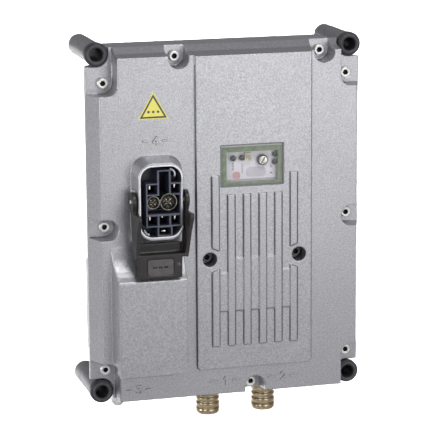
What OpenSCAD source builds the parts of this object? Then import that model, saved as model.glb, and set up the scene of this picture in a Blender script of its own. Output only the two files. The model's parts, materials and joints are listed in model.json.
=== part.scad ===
// Wall-mounted, fan-less variable frequency drive in a die-cast housing.
// Origin: centre of the four mounting sleeves on the wall plane. X right, Y towards the wall, Z up.
// The front faces -Y, so every depth below is a distance in front of the wall.

/* [Mounting] */
// Distance between the mounting holes across the drive
hole_spacing_x = 183; // [182:0.5:184]
// Distance between the mounting holes along the height
hole_spacing_z = 240; // [239:0.5:241]
// Length of a spacer sleeve, from the wall to its front end
sleeve_len = 58; // [57:0.5:59]
// Outer radius of a spacer sleeve
sleeve_r = 7.6; // [7.2:0.1:7.7]
// Radius of the through hole in a sleeve
sleeve_bore_r = 4.5; // [4.2:0.05:4.6]

/* [Housing] */
// Half of the width over the flange
flange_half_w = 99.3; // [99:0.1:100]
// Half of the width of the front face
front_half_w = 92.8; // [92:0.1:94]
// Height of the flange top above the centre
flange_top = 124.6; // [124:0.1:125]
// Depth of the flange bottom below the centre
flange_bottom = 126.5; // [126:0.1:127]
// Distance of the front face from the wall
front_depth = 71; // [70.5:0.5:71.5]
// Distance of the flange face, on which the cover screws sit, from the wall
flange_depth = 55; // [54.5:0.5:55.5]
// Distance of the joint between cover and rear housing from the wall
parting_depth = 51; // [50.5:0.25:51.5]
// Distance of the rear housing's back plate from the wall
back_depth = 20; // [19:0.5:21]
// How far the cooling fins reach behind the back plate
fin_depth = 12; // [8:1:14]
// Number of cooling fins
fin_count = 15; // [9:1:17]
// Wall thickness of the castings
cast_wall = 3; // [2.5:0.1:3.2]

/* [Front panel] */
// How far the ribbed panel stands out of the front face
panel_rise = 2.5; // [2:0.1:3]
// Distance between two ribs
rib_pitch = 11.46; // [11.2:0.01:11.6]
// Width of a rib
rib_w = 5; // [4:0.1:6]
// How far a rib stands out of the panel
rib_rise = 1.3; // [1:0.1:1.6]

/* [Main connector] */
// Centre of the main connector from the drive's centre line
power_x = -53.7; // [-54:0.05:-53.4]
// Height of the main connector's centre
power_z = 20.2; // [20:0.1:20.5]
// How far the connector collar and the lower connector housing stand out of the front face
collar_rise = 14; // [13.5:0.1:14.5]
// How far the locking lever swings up
lever_swing = 95; // [60:5:100]

/* [Lower connectors] */
// Distance between the two round connectors
round_spacing = 41.7; // [41:0.1:42.5]
// Outer radius of a round connector
round_r = 8.5; // [8.3:0.05:8.6]

/* [Hidden] */
$fn = 64;
eps = 0.01;
slip = 0.05;
fit_gap = 0.25;
beyond = 140;

front_y = -front_depth;
flange_y = -flange_depth;
parting_y = -parting_depth;
back_y = -back_depth;
panel_y = front_y - panel_rise;
collar_y = front_y - collar_rise;
seal_h = 1;

sleeve_collar_r = 8.3;
sleeve_collar_len = 7;
cradle_r = sleeve_collar_r + 0.3;
cradle_wall_r = 10;

screw_xz = [
    [-87.5, 100], [-88, -1], [-88.8, -104],
    [-36.5, 116.9], [69, 116.9],
    [88.5, 100], [89.2, -1], [89.6, -103],
    [17.8, -121]
];
screw_head_r = 3.8;
screw_head_h = 3.4;
screw_shank_r = 2;
screw_len = 14;
socket_r = 1.75;
slot_angle = 57;
slot_reach = 2.4;
slot_half_w = 0.45;
pocket_r = 7.4;

inner_half_w = 77.5;
inner_top = 106;
inner_bottom = -110;

panel_left = -25.3;
panel_right = 58.6;
panel_bottom = -105.5;
panel_corner = 3;
panel_mid = (panel_left + panel_right) / 2;
panel_hole_offset = 32.7;
panel_hole_z = -25.8;
panel_hole_r = 5.1;

window_x = [-7.9, 38.2];
window_z = [25.3, 54.9];
window_wall = 5;
window_seat_y = panel_y + 3.5;
gasket_h = 1.2;
lid_proud = 0.8;
board_y = -65.5;

collar_half = [17.9, 30];
rim_half = [16.1, 27];
mouth_half = [14.45, 24.7];
rim_corner = 10.5;
mouth_corner = 8.5;
pivot_y = front_y - 8;
ear_r = 6.8;
ear_t = 2.8;
ear_in = rim_half[0] + 1.3;
arm_lean = 2.1;
pin_r = 1.4;
handle_x = [-71.2, -39.9];
handle_z = [-33, -17.4];

bulge_x = [-86.6, -34.6];
bulge_front_x = [-83.9, -35.6];
bulge_bottom = -104.3;
ramp_top = -13.4;
ramp_end = -34.8;
ramp_r = 42.3;
ramp_a0 = 14;
ramp_a1 = 50;

blade_xz = [[-60.8, 29.6], [-43.2, 30], [-60.8, 8], [-52, 9.4], [-43, 7.6]];
flat_blade_x = [-52.7, -49.7];
shield_x = [-58.95, -48.1];
shield_z = 19.6;
shield_r = [4.6, 6];

tongue_x = [-79, -41];
insert_screw_y = -77;
tongue_y = [collar_y + cast_wall + 0.2, front_y - 0.4];
insert_screw_x = [-80.9, -39.1];
lower_contact_count = 6;

body_left = -89.5;
body_right = 91;
back_wall = 4;
boss_xz = [for (s = [-1, 1], z = [-92, 60]) [s * 66, z]];

standoff_xz = [[-18, -56], [58, -56], [-18, 64], [58, 64]];
board_nut_r = 3.4;

round_y = -40;
round_x0 = -9.4;
round_top = -123;
round_bottom = -147.2;

// A 2D shape in the X-Z plane, extruded from depth y0 (nearer the wall) forward to y1.
module slab(y0, y1) {
    translate([0, y0, 0]) rotate([90, 0, 0]) linear_extrude(y0 - y1) children();
}

// A box from corner a to corner b.
module block(a, b) {
    translate(a) cube(b - a);
}

// A rounded rectangle centred on c, with half sizes h.
module round_rect(c, h, r) {
    translate(c) {
        square([2 * h[0], 2 * (h[1] - r)], center = true);
        square([2 * (h[0] - r), 2 * h[1]], center = true);
        for (sx = [-1, 1], sz = [-1, 1]) translate([sx * (h[0] - r), sz * (h[1] - r)]) circle(r);
    }
}

// A cylinder along Y from depth y0 forward to y1.
module rod_y(x, z, r, y0, y1) {
    translate([x, y0, z]) rotate([90, 0, 0]) cylinder(r = r, h = y0 - y1);
}

// A cylinder along X from x0 to x1.
module rod_x(y, z, r, x0, x1) {
    translate([x0, y, z]) rotate([0, 90, 0]) cylinder(r = r, h = x1 - x0);
}

// A cylinder along Z from z0 to z1.
module rod_z(x, y, r, z0, z1) {
    translate([x, y, z0]) cylinder(r = r, h = z1 - z0);
}

module at_sleeves() {
    for (sx = [-1, 1], sz = [-1, 1])
        translate([sx * hole_spacing_x / 2, 0, sz * hole_spacing_z / 2]) children();
}

// Corner clearance round each sleeve, open to the outside.
module corner_notches(y0, y1) {
    at_sleeves() rod_y(0, 0, cradle_r, y0, y1);
    for (sx = [-1, 1], sz = [-1, 1]) {
        x = sx * hole_spacing_x / 2;
        z = sz * hole_spacing_z / 2;
        block([min(x, sx * beyond), y1, min(z - sz * cradle_r, sz * beyond)],
              [max(x, sx * beyond), y0, max(z - sz * cradle_r, sz * beyond)]);
        block([min(x - sx * cradle_r, sx * beyond), y1, min(z, sz * beyond)],
              [max(x - sx * cradle_r, sx * beyond), y0, max(z, sz * beyond)]);
    }
}

// Drafted envelope of the cover: sloped left and right walls, two slopes along the top.
module cover_envelope() {
    intersection() {
        translate([0, 0, -150]) linear_extrude(300) polygon([
            [-flange_half_w, parting_y], [-flange_half_w, flange_y + 0.5], [-front_half_w, front_y],
            [-front_half_w, panel_y - 1], [front_half_w, panel_y - 1],
            [front_half_w, front_y], [flange_half_w, flange_y + 0.5], [flange_half_w, parting_y]
        ]);
        translate([-150, 0, 0]) rotate([90, 0, 90]) linear_extrude(300) polygon([
            [parting_y, -flange_bottom], [flange_y, -flange_bottom], [front_y, -125],
            [panel_y - 1, -125], [panel_y - 1, 118.3], [front_y, 118.5],
            [-62, 120.2], [flange_y, flange_top], [parting_y, flange_top]
        ]);
    }
}

// The ribbed panel's plate, up to the top edge of the cover.
module panel_plate() {
    intersection() {
        cover_envelope();
        slab(front_y + eps, panel_y) {
            translate([panel_left, 0]) square([panel_right - panel_left, 130]);
            round_rect([panel_mid, 0], [(panel_right - panel_left) / 2, -panel_bottom], panel_corner);
        }
    }
}

// One rib between heights z0 and z1; a slant cuts its end beside a panel screw.
module rib(x, z0, z1, slant0, slant1) {
    slab(panel_y + eps, panel_y - rib_rise) polygon([
        [x - rib_w / 2, z0 - max(slant0, 0)], [x + rib_w / 2, z0 + min(slant0, 0)],
        [x + rib_w / 2, z1 + max(slant1, 0)], [x - rib_w / 2, z1 - min(slant1, 0)]
    ]);
}

module ribs() {
    for (i = [1:4]) rib(panel_mid + (i - 2.5) * rib_pitch, -88.7, 20, 0, 0);
    for (s = [-1, 1]) {
        x = panel_mid + s * 2.5 * rib_pitch;
        rib(x, -17.5, 34, 2 * s, 0);
        rib(x, -88.7, -35, 0, -2 * s);
    }
    for (i = [0:4]) {
        x = panel_mid + (i - 2) * rib_pitch;
        z1 = (i == 0 || i == 4) ? -36 : -25.7;
        slab(panel_y + eps, panel_y - 0.5) translate([x - rib_pitch / 2, -63.7]) square([rib_pitch, z1 + 63.7]);
    }
}

// Housing of the lower connector: a block with a hollow ramp at its top and a cut lower left corner.
module lower_bulge() {
    side = bulge_front_x[0] - bulge_x[0];
    intersection() {
        translate([0, 0, -110]) linear_extrude(100) polygon([
            [bulge_x[0], front_y + eps], [bulge_front_x[0], collar_y],
            [bulge_front_x[1], collar_y], [bulge_x[1], front_y + eps]
        ]);
        translate([-100, 0, 0]) rotate([90, 0, 90]) linear_extrude(80) polygon([
            for (a = [ramp_a0:6:ramp_a1]) [front_y + eps - ramp_r * (cos(ramp_a0) - cos(a)),
                                           ramp_top - ramp_r * (sin(a) - sin(ramp_a0))],
            [collar_y, ramp_end - 1.5], [collar_y, bulge_bottom + 0.4], [front_y + eps, bulge_bottom]
        ]);
        slab(front_y + 1, collar_y - 1) polygon([
            [bulge_x[0] - 1, 0], [bulge_x[0] - 1, -98], [-80 - side, bulge_bottom - 1], [-30, bulge_bottom - 1],
            [-30, 0]
        ]);
    }
}

// Oval collar of the main connector, tapering towards its rim.
module collar_outer() {
    hull() {
        slab(front_y + eps, front_y) round_rect([power_x, power_z], collar_half, 11.5);
        slab(collar_y + eps, collar_y) round_rect([power_x, power_z], rim_half, rim_corner);
    }
}

// U-shaped recesses of the cover screws: a round seat that is open towards the nearest edge.
module screw_pockets() {
    for (i = [0:len(screw_xz) - 1]) {
        x = screw_xz[i][0];
        z = screw_xz[i][1];
        rod_y(x, z, pocket_r, flange_y, panel_y - 5);
        if (abs(x) > 80) {
            s = sign(x);
            block([min(x, s * beyond), panel_y - 5, z - pocket_r], [max(x, s * beyond), flange_y, z + pocket_r]);
        }
        if (abs(z) > 110) {
            block([x - pocket_r, panel_y - 5, min(z, sign(z) * beyond)],
                  [x + pocket_r, flange_y, max(z, sign(z) * beyond)]);
        }
        if (abs(x) > 80 && abs(z) > 90) {
            block([min(x - sign(x) * pocket_r, sign(x) * beyond), panel_y - 5, min(z, sign(z) * beyond)],
                  [max(x - sign(x) * pocket_r, sign(x) * beyond), flange_y, max(z, sign(z) * beyond)]);
        }
    }
}

module front_cover() {
    color([0.62, 0.62, 0.64]) difference() {
        union() {
            difference() {
                cover_envelope();
                block([-150, panel_y - 2, -150], [150, front_y, 150]);
            }
            panel_plate();
            ribs();
            lower_bulge();
            collar_outer();
        }
        screw_pockets();
        corner_notches(parting_y + 1, panel_y - 5);
        difference() {
            block([-inner_half_w, front_y + cast_wall, inner_bottom], [inner_half_w, parting_y + 1, inner_top]);
            for (s = [-1, 1])
                rod_y(panel_mid + s * panel_hole_offset, panel_hole_z, 8, front_y + 13, front_y);
        }
        block([bulge_x[0] + 5, collar_y + cast_wall, bulge_bottom + cast_wall],
              [bulge_x[1] - 4, front_y + 5, ramp_end - 6]);
        block([tongue_x[0] - slip, tongue_y[0] - slip, bulge_bottom - 5],
              [tongue_x[1] + slip, tongue_y[1] + slip, bulge_bottom + 5]);
        for (x = insert_screw_x) rod_z(x, insert_screw_y, 1.3, bulge_bottom - 2, bulge_bottom + 6);
        slab(front_y + 5, collar_y - 5) round_rect([power_x, power_z], mouth_half, mouth_corner);
        block([power_x + mouth_half[0] - 2, collar_y - 1, power_z - 18], [power_x + 19, collar_y + 3, power_z + 14]);
        for (s = [-1, 1])
            block([power_x + s * 18.8 - 2.2, collar_y - 1, power_z - 32],
                  [power_x + s * 18.8 + 2.2, front_y - 0.9, power_z + 8]);
        rod_x(pivot_y, power_z, pin_r, power_x - 30, power_x + 30);
        block([window_x[0], panel_y - 5, window_z[0]], [window_x[1], window_seat_y, window_z[1]]);
        block([window_x[0] + window_wall, panel_y - 5, window_z[0] + window_wall - 2.2],
              [window_x[1] - window_wall + 1.6, front_y + 5, window_z[1] - window_wall - 0.5]);
        for (s = [-1, 1]) {
            rod_y(panel_mid + s * panel_hole_offset, panel_hole_z, panel_hole_r, front_y + 9, panel_y - 5);
            rod_y(panel_mid + s * panel_hole_offset, panel_hole_z, 2.2, front_y + 14, panel_y - 5);
        }
        for (p = screw_xz) rod_y(p[0], p[1], screw_shank_r + 0.25, parting_y + 1, flange_y - 5);
    }
}

// Rear half of the housing: a flanged box with cooling fins and a cradle beside each sleeve.
module rear_housing() {
    seal_y = parting_y + seal_h;
    color([0.55, 0.55, 0.57]) difference() {
        union() {
            block([-flange_half_w + 2, seal_y, -flange_bottom + 1], [flange_half_w - 2, -44, flange_top - 1]);
            block([body_left, -45, -124], [body_right, back_y, 123]);
            slab(back_y - 1, -43) polygon([[body_left + 1, -26], [-94, -31], [-94, -97], [body_left + 1, -97]]);
            for (i = [0:fin_count - 1]) {
                x = body_left + 9 + i * (body_right - body_left - 21) / (fin_count - 1);
                block([x, back_y - 1, -108], [x + 3, back_y + fin_depth, 108]);
            }
            at_sleeves() rod_y(0, 0, cradle_wall_r, -26, -44);
        }
        difference() {
            block([-82.5, seal_y - 1, -114], [82.5, back_y - back_wall, 110]);
            for (p = boss_xz) rod_y(p[0], p[1], 5, back_y, -38);
        }
        for (sx = [-1, 1], sz = [-1, 1]) {
            x = sx * hole_spacing_x / 2;
            z = sz * hole_spacing_z / 2;
            block([min(x, sx * 120), -44.1, min(z - sz * 11, sz * 140)], [max(x, sx * 120), -10, max(z - sz * 11, sz * 140)]);
            block([min(x - sx * 11, sx * 120), -44.1, min(z, sz * 140)], [max(x - sx * 11, sx * 120), -10, max(z, sz * 140)]);
        }
        at_sleeves() rod_y(0, 0, sleeve_r + 0.1, 0, -60);
        corner_notches(-43.9, -60);
        for (p = screw_xz) rod_y(p[0], p[1], screw_shank_r, -38, -60);
        for (i = [0, 1]) rod_z(round_x0 + i * round_spacing, round_y, 6.6, -130, -110);
        for (p = boss_xz) rod_y(p[0], p[1], 1.6, back_y - 5, -45);
        for (i = [0, 1]) rod_z(round_x0 + i * round_spacing, round_y, round_r, -130, -124);
        rod_z(-75, -30, 1.65, -130, -116);
    }
}

// Flat seal between cover and rear housing.
module cover_seal() {
    color([0.12, 0.12, 0.13]) difference() {
        slab(parting_y + seal_h, parting_y) round_rect([0, -2], [82, 112], 6);
        slab(parting_y + 2, parting_y - 1) round_rect([0, -2], [79, 109], 4);
    }
}

// Pan-head screws with a six-lobe socket, shown as a round one.
module cover_screws() {
    color([0.8, 0.8, 0.8]) for (p = screw_xz) difference() {
        union() {
            rod_y(p[0], p[1], screw_head_r, flange_y, flange_y - screw_head_h);
            rod_y(p[0], p[1], screw_shank_r - 0.05, flange_y - screw_head_h + screw_len, flange_y);
        }
        rod_y(p[0], p[1], socket_r, flange_y - screw_head_h + 2, flange_y - screw_head_h - 1);
    }
}

// Spacer sleeve: a tube with a thicker collar at the front and a raised inner ring.
module sleeve() {
    color([0.15, 0.15, 0.16]) rotate([90, 0, 0]) rotate_extrude() polygon([
        [sleeve_bore_r, 0], [sleeve_r, 0], [sleeve_r, sleeve_len - sleeve_collar_len],
        [sleeve_collar_r, sleeve_len - sleeve_collar_len + 1], [sleeve_collar_r, sleeve_len - 1.4],
        [sleeve_collar_r - 0.6, sleeve_len - 0.8], [6.8, sleeve_len - 0.8], [6.5, sleeve_len],
        [sleeve_bore_r + 0.5, sleeve_len], [sleeve_bore_r, sleeve_len - 0.5]
    ]);
}
module sleeve_at(sx, sz) {
    translate([sx * hole_spacing_x / 2, 0, sz * hole_spacing_z / 2]) sleeve();
}
module sleeve_top_left() { sleeve_at(-1, 1); }
module sleeve_top_right() { sleeve_at(1, 1); }
module sleeve_bottom_left() { sleeve_at(-1, -1); }
module sleeve_bottom_right() { sleeve_at(1, -1); }

// Clear lid over the service area; it lifts straight off.
module service_window() {
    g = fit_gap;
    color([0.8, 0.85, 0.85, 0.5]) {
        block([window_x[0] + g, panel_y - lid_proud, window_z[0] + g],
              [window_x[1] - g, window_seat_y - gasket_h, window_z[1] - g]);
    }
}

// Green sealing ring under the lid.
module window_gasket() {
    color([0.45, 0.55, 0.4]) difference() {
        block([window_x[0] + 1, window_seat_y - gasket_h, window_z[0] + 0.8],
              [window_x[1] - 0.8, window_seat_y, window_z[1] - 1.8]);
        block([window_x[0] + window_wall, window_seat_y - 3, window_z[0] + window_wall - 2.2],
              [window_x[1] - window_wall + 1.6, window_seat_y + 1, window_z[1] - window_wall - 0.5]);
    }
}

switch_xz = [24.2, 42.3];
lamp_xz = [[3, 44.2], [9.3, 44.4], [33.6, 45.8], [33.4, 40.3]];

// Plate behind the window that carries the lamps, the switch and the socket.
module display_carrier() {
    color([0.72, 0.72, 0.74]) difference() {
        block([-7, board_y, 24], [39.5, board_y + 1.6, 55]);
        rod_y(switch_xz[0], switch_xz[1], 2.2, board_y + 2, board_y - 1);
    }
}

module status_lamps() {
    color([0.2, 0.22, 0.22]) for (p = lamp_xz) rod_y(p[0], p[1], 2, board_y, board_y - 2.4);
}

// Turning part of the coding switch, with a screwdriver slot.
module rotary_switch() {
    x = switch_xz[0];
    z = switch_xz[1];
    color([0.85, 0.84, 0.78]) difference() {
        union() {
            rod_y(x, z, 2.9, board_y - 2.4, board_y - 3.9);
            rod_y(x, z, 1.95, board_y + 4, board_y - 2.5);
        }
        translate([x, 0, z]) rotate([0, -slot_angle, 0])
            block([-slot_reach, board_y - 5, -slot_half_w], [slot_reach, board_y - 3.2, slot_half_w]);
    }
}

// Fixed body of the coding switch behind and round its turning part.
module switch_socket() {
    x = switch_xz[0];
    z = switch_xz[1];
    color([0.15, 0.15, 0.15]) difference() {
        union() {
            rod_y(x, z, 3.8, board_y, board_y - 3.2);
            rod_y(x, z, 2.19, board_y + 1.7, board_y - 1);
            block([x - 4, board_y + 1.6, z - 4], [x + 4, board_y + 5, z + 4]);
        }
        rod_y(x, z, 3.2, board_y - 2.1, board_y - 5);
        rod_y(x, z, 2, board_y + 6, board_y - 5);
    }
}

// Small service socket beside the switch.
module service_socket() {
    color([0.87, 0.85, 0.72]) difference() {
        block([11.3, board_y - 2.6, 42], [16.1, board_y, 47.8]);
        for (i = [0:2]) block([12 + i * 1.3, board_y - 3, 43], [12.8 + i * 1.3, board_y - 1, 46.8]);
    }
}

// Screws deep in the two holes of the panel.
module panel_screws() {
    color([0.25, 0.25, 0.26]) for (s = [-1, 1]) {
        x = panel_mid + s * panel_hole_offset;
        difference() {
            union() {
                rod_y(x, panel_hole_z, 3.6, front_y + 9, front_y + 5.4);
                rod_y(x, panel_hole_z, 1.95, -52.6, front_y + 8.9);
            }
            rod_y(x, panel_hole_z, 1.6, front_y + 7.4, front_y + 5);
        }
    }
}

// Thin triangular sticker on the front face.
module heat_sticker() {
    color([0.93, 0.87, 0.25]) slab(front_y, front_y - 0.2)
        polygon([[-66.2, 75.6], [-44.2, 75.6], [-55.1, 94.6]]);
}

// Insulating body of the main connector: chambers that stand up from a common floor.
module power_insert() {
    floor_y = front_y - 1;
    cell_floor_y = front_y + 4;
    x0 = power_x - 10.75;
    x1 = power_x + mouth_half[0] - 0.3;
    z = [-4.2, 2.6, 11.2, 24.7, 33.3, 42.4];
    color([0.13, 0.14, 0.2]) {
        difference() {
            union() {
                slab(front_y + 6, floor_y) round_rect([power_x, power_z], [mouth_half[0] - fit_gap, mouth_half[1] - fit_gap], 8.2);
                slab(front_y + 9, front_y + cast_wall) round_rect([power_x, power_z], [mouth_half[0] + 3, mouth_half[1] + 3], 8.2);
                block([x0, collar_y, z[1]], [x1, floor_y + 1, z[4]]);
                block([x0 + 8, collar_y, z[0]], [x0 + 18.5, floor_y + 1, z[1] + 1]);
                block([x0 + 8, collar_y, z[4] - 1], [x0 + 17.5, floor_y + 1, z[5]]);
            }
            for (i = [0:2], j = [1, 3]) if (!(i == 1 && j == 3))
                block([x0 + 1 + i * 8.3, collar_y - 1, z[j] + 1], [min(x0 + 8 + i * 8.3, x1 - 0.8), cell_floor_y, z[j + 1] - 1]);
            block([x0 + 1, collar_y - 1, z[2] + 0.5], [x1 - 1, floor_y + 0.5, z[3]]);
            block([x0 + 9.3, collar_y - 1, z[2] + 1], [x0 + 16.3, cell_floor_y, z[5] - 1]);
            block([x0 + 9, collar_y - 1, z[0] + 1], [x0 + 17.5, cell_floor_y, z[1] - 0.4]);
            power_blade_boxes();
            for (i = [0, 1]) rod_y(shield_x[i], shield_z, shield_r[i] + slip, front_y + 12, collar_y - 1);
        }
    }
}

// The blades' own boxes, which the insert is slotted for.
module power_blade_boxes() {
    for (p = blade_xz) block([p[0] - 0.5, front_y - 9, p[1] - 1.4], [p[0] + 0.5, front_y + 12, p[1] + 1.4]);
    block([flat_blade_x[0], front_y - 9, -1.9], [flat_blade_x[1], front_y + 12, -0.9]);
}
module power_blades() {
    color([0.75, 0.72, 0.62]) power_blade_boxes();
}

module data_shield(x, r) {
    color([0.72, 0.66, 0.5]) difference() {
        rod_y(x, shield_z, r, front_y + 12, collar_y + 1.5);
        rod_y(x, shield_z, r - 0.6, collar_y + 9, collar_y - 2);
    }
}
module data_shield_left() { data_shield(shield_x[0], shield_r[0]); }
module data_shield_right() { data_shield(shield_x[1], shield_r[1]); }

// Four signal pins inside each shield.
module data_pins() {
    color([0.85, 0.7, 0.35]) for (x = shield_x, a = [45:90:315])
        rod_y(x + 2 * cos(a), shield_z + 2 * sin(a), 0.5, collar_y + 9, collar_y + 3);
}

// Spring latches that hold the insert at two opposite corners.
module insert_brackets() {
    color([0.78, 0.78, 0.78]) {
        difference() {
            rod_y(-46.8, 38.6, 4.3, front_y - 1, collar_y + 3);
            rod_y(-46.8, 38.6, 3, front_y, collar_y - 1);
            block([-60, collar_y - 5, 20], [-46.8, front_y, 60]);
            block([-60, collar_y - 5, 20], [-30, front_y, 37]);
        }
        difference() {
            rod_y(-61.5, 0.6, 4.2, front_y - 1, collar_y + 3);
            rod_y(-61.5, 0.6, 3, front_y, collar_y - 1);
            block([-61.5, collar_y - 5, -10], [-40, front_y, 20]);
            block([-80, collar_y - 5, 0.6], [-40, front_y, 20]);
        }
    }
}

// Side arm of the lever: a round ear, and a triangular plate that leans inwards and reaches forward.
module lever_arm(s) {
    xin = power_x + s * ear_in;
    xout = power_x + s * (ear_in + ear_t);
    difference() {
        union() {
            rod_x(pivot_y, power_z, ear_r, min(xin, xout), max(xin, xout));
            translate([(xin + xout) / 2, 0, power_z]) rotate([0, s * arm_lean, 0])
                translate([-ear_t / 2, 0, -power_z]) rotate([90, 0, 90]) linear_extrude(ear_t) polygon([
                    [pivot_y + 5.4, power_z - 3.5], [pivot_y - 5.4, power_z - 3.5],
                    [pivot_y - 4.5, power_z - 7.4], [-98.4, power_z - 6.6], [-99, power_z - 10],
                    [-93.5, 0], [-86.5, -19.2], [-79, -19.5], [-77, -10], [-76.5, power_z - 9]
                ]);
        }
        rod_x(pivot_y, power_z, pin_r + 0.06, power_x - 30, power_x + 30);
    }
}

// Locking lever: two arms, a web set back between them, a lip and the handle plate.
module locking_lever() {
    w = ear_in + ear_t - 2;
    color([0.12, 0.1, 0.1]) {
        lever_arm(-1);
        lever_arm(1);
        block([power_x - w, -80.2, -18.6], [power_x + w, -77.6, -9.8]);
        block([power_x - w, -88, -18.6], [power_x + w, -77.6, -16.4]);
        difference() {
            block([handle_x[0], -88, handle_z[0]], [handle_x[1], collar_y - 0.35, handle_z[1]]);
            slab(-87.5, -90) round_rect([(handle_x[0] + handle_x[1]) / 2 + 0.3, -25.2], [9.6, 6], 2);
        }
    }
}

// Stub pins pressed into the collar, on which the lever turns.
module lever_pins() {
    color([0.75, 0.75, 0.75]) for (s = [-1, 1]) {
        a = power_x + s * (mouth_half[0] + 0.2);
        b = power_x + s * (ear_in + ear_t + 0.5);
        rod_x(pivot_y, power_z, pin_r, min(a, b), max(a, b));
    }
}

// Shrouded connector on the underside of the lower housing, open downwards.
module lower_insert() {
    color([0.13, 0.14, 0.2]) difference() {
        block([tongue_x[0], tongue_y[0], bulge_bottom - 0.6], [tongue_x[1], tongue_y[1], bulge_bottom + 14]);
        block([tongue_x[0] + 1.6, tongue_y[0] + 1.4, bulge_bottom - 2],
              [tongue_x[1] - 1.6, tongue_y[1] - 1, bulge_bottom + 11]);
        lower_contact_bars();
    }
}
module lower_contact_bars() {
    for (i = [0:lower_contact_count - 1])
        block([-75.4 + i * 6, -75.2, bulge_bottom + 2], [-74.6 + i * 6, -73.4, bulge_bottom + 17]);
}
module lower_contacts() {
    color([0.75, 0.72, 0.62]) lower_contact_bars();
}
module lower_insert_screws() {
    color([0.8, 0.8, 0.8]) for (x = insert_screw_x) {
        rod_z(x, insert_screw_y, 1.3, bulge_bottom - 0.1, bulge_bottom + 5.8);
        rod_z(x, insert_screw_y, 1.8, bulge_bottom - 1.4, bulge_bottom);
    }
}

// Threaded metal shell of a round connector, with two grooves and a chamfered end.
module round_shell(i) {
    x = round_x0 + i * round_spacing;
    r = round_r;
    h = round_top - round_bottom;
    color([0.72, 0.6, 0.36]) translate([x, round_y, round_bottom]) rotate_extrude() polygon([
        [6, 0], [r - 1, 0], [r, 1.4], [r, 8.6], [r - 0.7, 8.9], [r - 0.7, 10.4], [r, 10.8], [r, 12.6],
        [r - 0.7, 13], [r - 0.7, 14.4], [r, 14.8], [r, h - 2.6], [6.5, h - 2.6], [6.5, h + 10],
        [5.4, h + 10], [5.4, 6], [6, 6]
    ]);
}
module round_shell_left() { round_shell(0); }
module round_shell_right() { round_shell(1); }

// Insulator inside a round connector.
module round_insert(i) {
    x = round_x0 + i * round_spacing;
    color([0.1, 0.1, 0.1]) difference() {
        rod_z(x, round_y, 5.38, round_bottom + 6.5, round_top + 9);
        for (a = [0:60:300])
            rod_z(x + 3.2 * cos(a), round_y + 3.2 * sin(a), 0.5, round_bottom - 1, round_top + 20);
    }
}
module round_insert_left() { round_insert(0); }
module round_insert_right() { round_insert(1); }

module round_pins() {
    color([0.85, 0.7, 0.35]) for (i = [0, 1], a = [0:60:300])
        rod_z(round_x0 + i * round_spacing + 3.2 * cos(a), round_y + 3.2 * sin(a), 0.49,
              round_bottom + 1.5, round_top + 12);
}

// Coloured ring between a round connector and the housing.
module port_ring(i) {
    x = round_x0 + i * round_spacing;
    difference() {
        rod_z(x, round_y, 8.2, round_top - 2.6, round_top - 1);
        rod_z(x, round_y, 6.55, round_top - 4, round_top + 1);
    }
}
module port_ring_left() { color([0.55, 0.15, 0.1]) port_ring(0); }
module port_ring_right() { color([0.3, 0.45, 0.25]) port_ring(1); }

// Bare metal earth lug under the lower left corner, with its screw.
module earth_lug() {
    color([0.78, 0.78, 0.78]) difference() {
        union() {
            slab(-26, -34) polygon([[-79, -124], [-79, -136], [-77, -138.5], [-72.5, -138.5], [-71, -136.5], [-71, -124]]);
            block([-80, -34.5, -127], [-70, -25.5, -124]);
        }
        rod_y(-75, -132, 2.1, -20, -40);
    }
}
module earth_screw() {
    color([0.8, 0.8, 0.8]) difference() {
        union() {
            rod_y(-75, -132, 3.5, -34, -36.6);
            rod_y(-75, -132, 2.05, -24, -34.1);
        }
        rod_y(-75, -132, 1.2, -35.2, -37);
    }
}

module power_board() {
    color([0.05, 0.3, 0.12]) difference() {
        block([-74, -39.6, -100], [74, -38, 68]);
        for (p = boss_xz) rod_y(p[0], p[1], 1.7, -37, -41);
    }
}
module board_screws() {
    color([0.8, 0.8, 0.8]) for (p = boss_xz) {
        rod_y(p[0], p[1], 2.8, -39.6, -41.6);
        rod_y(p[0], p[1], 1.55, -31, -39.7);
    }
}
module control_board() {
    color([0.05, 0.3, 0.12]) difference() {
        block([-22, -57.6, -60], [72, -56, 68]);
        for (p = standoff_xz) rod_y(p[0], p[1], 1.2, -55, -59);
        for (s = [-1, 1]) rod_y(panel_mid + s * panel_hole_offset, panel_hole_z, 2.3, -55, -59);
    }
}

// Press nuts on the back of the control board, which the two panel screws reach.
module board_nuts() {
    color([0.78, 0.76, 0.7]) for (s = [-1, 1]) difference() {
        rod_y(panel_mid + s * panel_hole_offset, panel_hole_z, board_nut_r, -53.2, -56);
        rod_y(panel_mid + s * panel_hole_offset, panel_hole_z, 1.96, -52, -57);
    }
}
module board_standoffs() {
    color([0.75, 0.72, 0.62]) for (p = standoff_xz) {
        rod_y(p[0], p[1], 2.5, -39.6, -56);
        rod_y(p[0], p[1], 1.1, -55.9, -59.4);
    }
}
module board_link() {
    color([0.1, 0.1, 0.1]) block([-10, -56, 50], [30, -39.6, 55]);
}
module link_capacitors() {
    color([0.12, 0.15, 0.3]) for (i = [0:3]) rod_z(-63 + i * 11.6, -47, 5.4, 76, 106);
}
module power_module() {
    color([0.1, 0.1, 0.1]) block([-30, -38, -30], [30, -26, 20]);
}
module thermal_pad() {
    color([0.6, 0.6, 0.62]) block([-30, -26, -30], [30, back_y - 4, 20]);
}

// Ring choke of the line filter, lying on the power board.
module line_choke() {
    color([0.55, 0.3, 0.15]) translate([-54, -39.6, -60]) rotate([90, 0, 0]) rotate_extrude()
        translate([10, 4]) square([6, 8], center = true);
}

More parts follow.
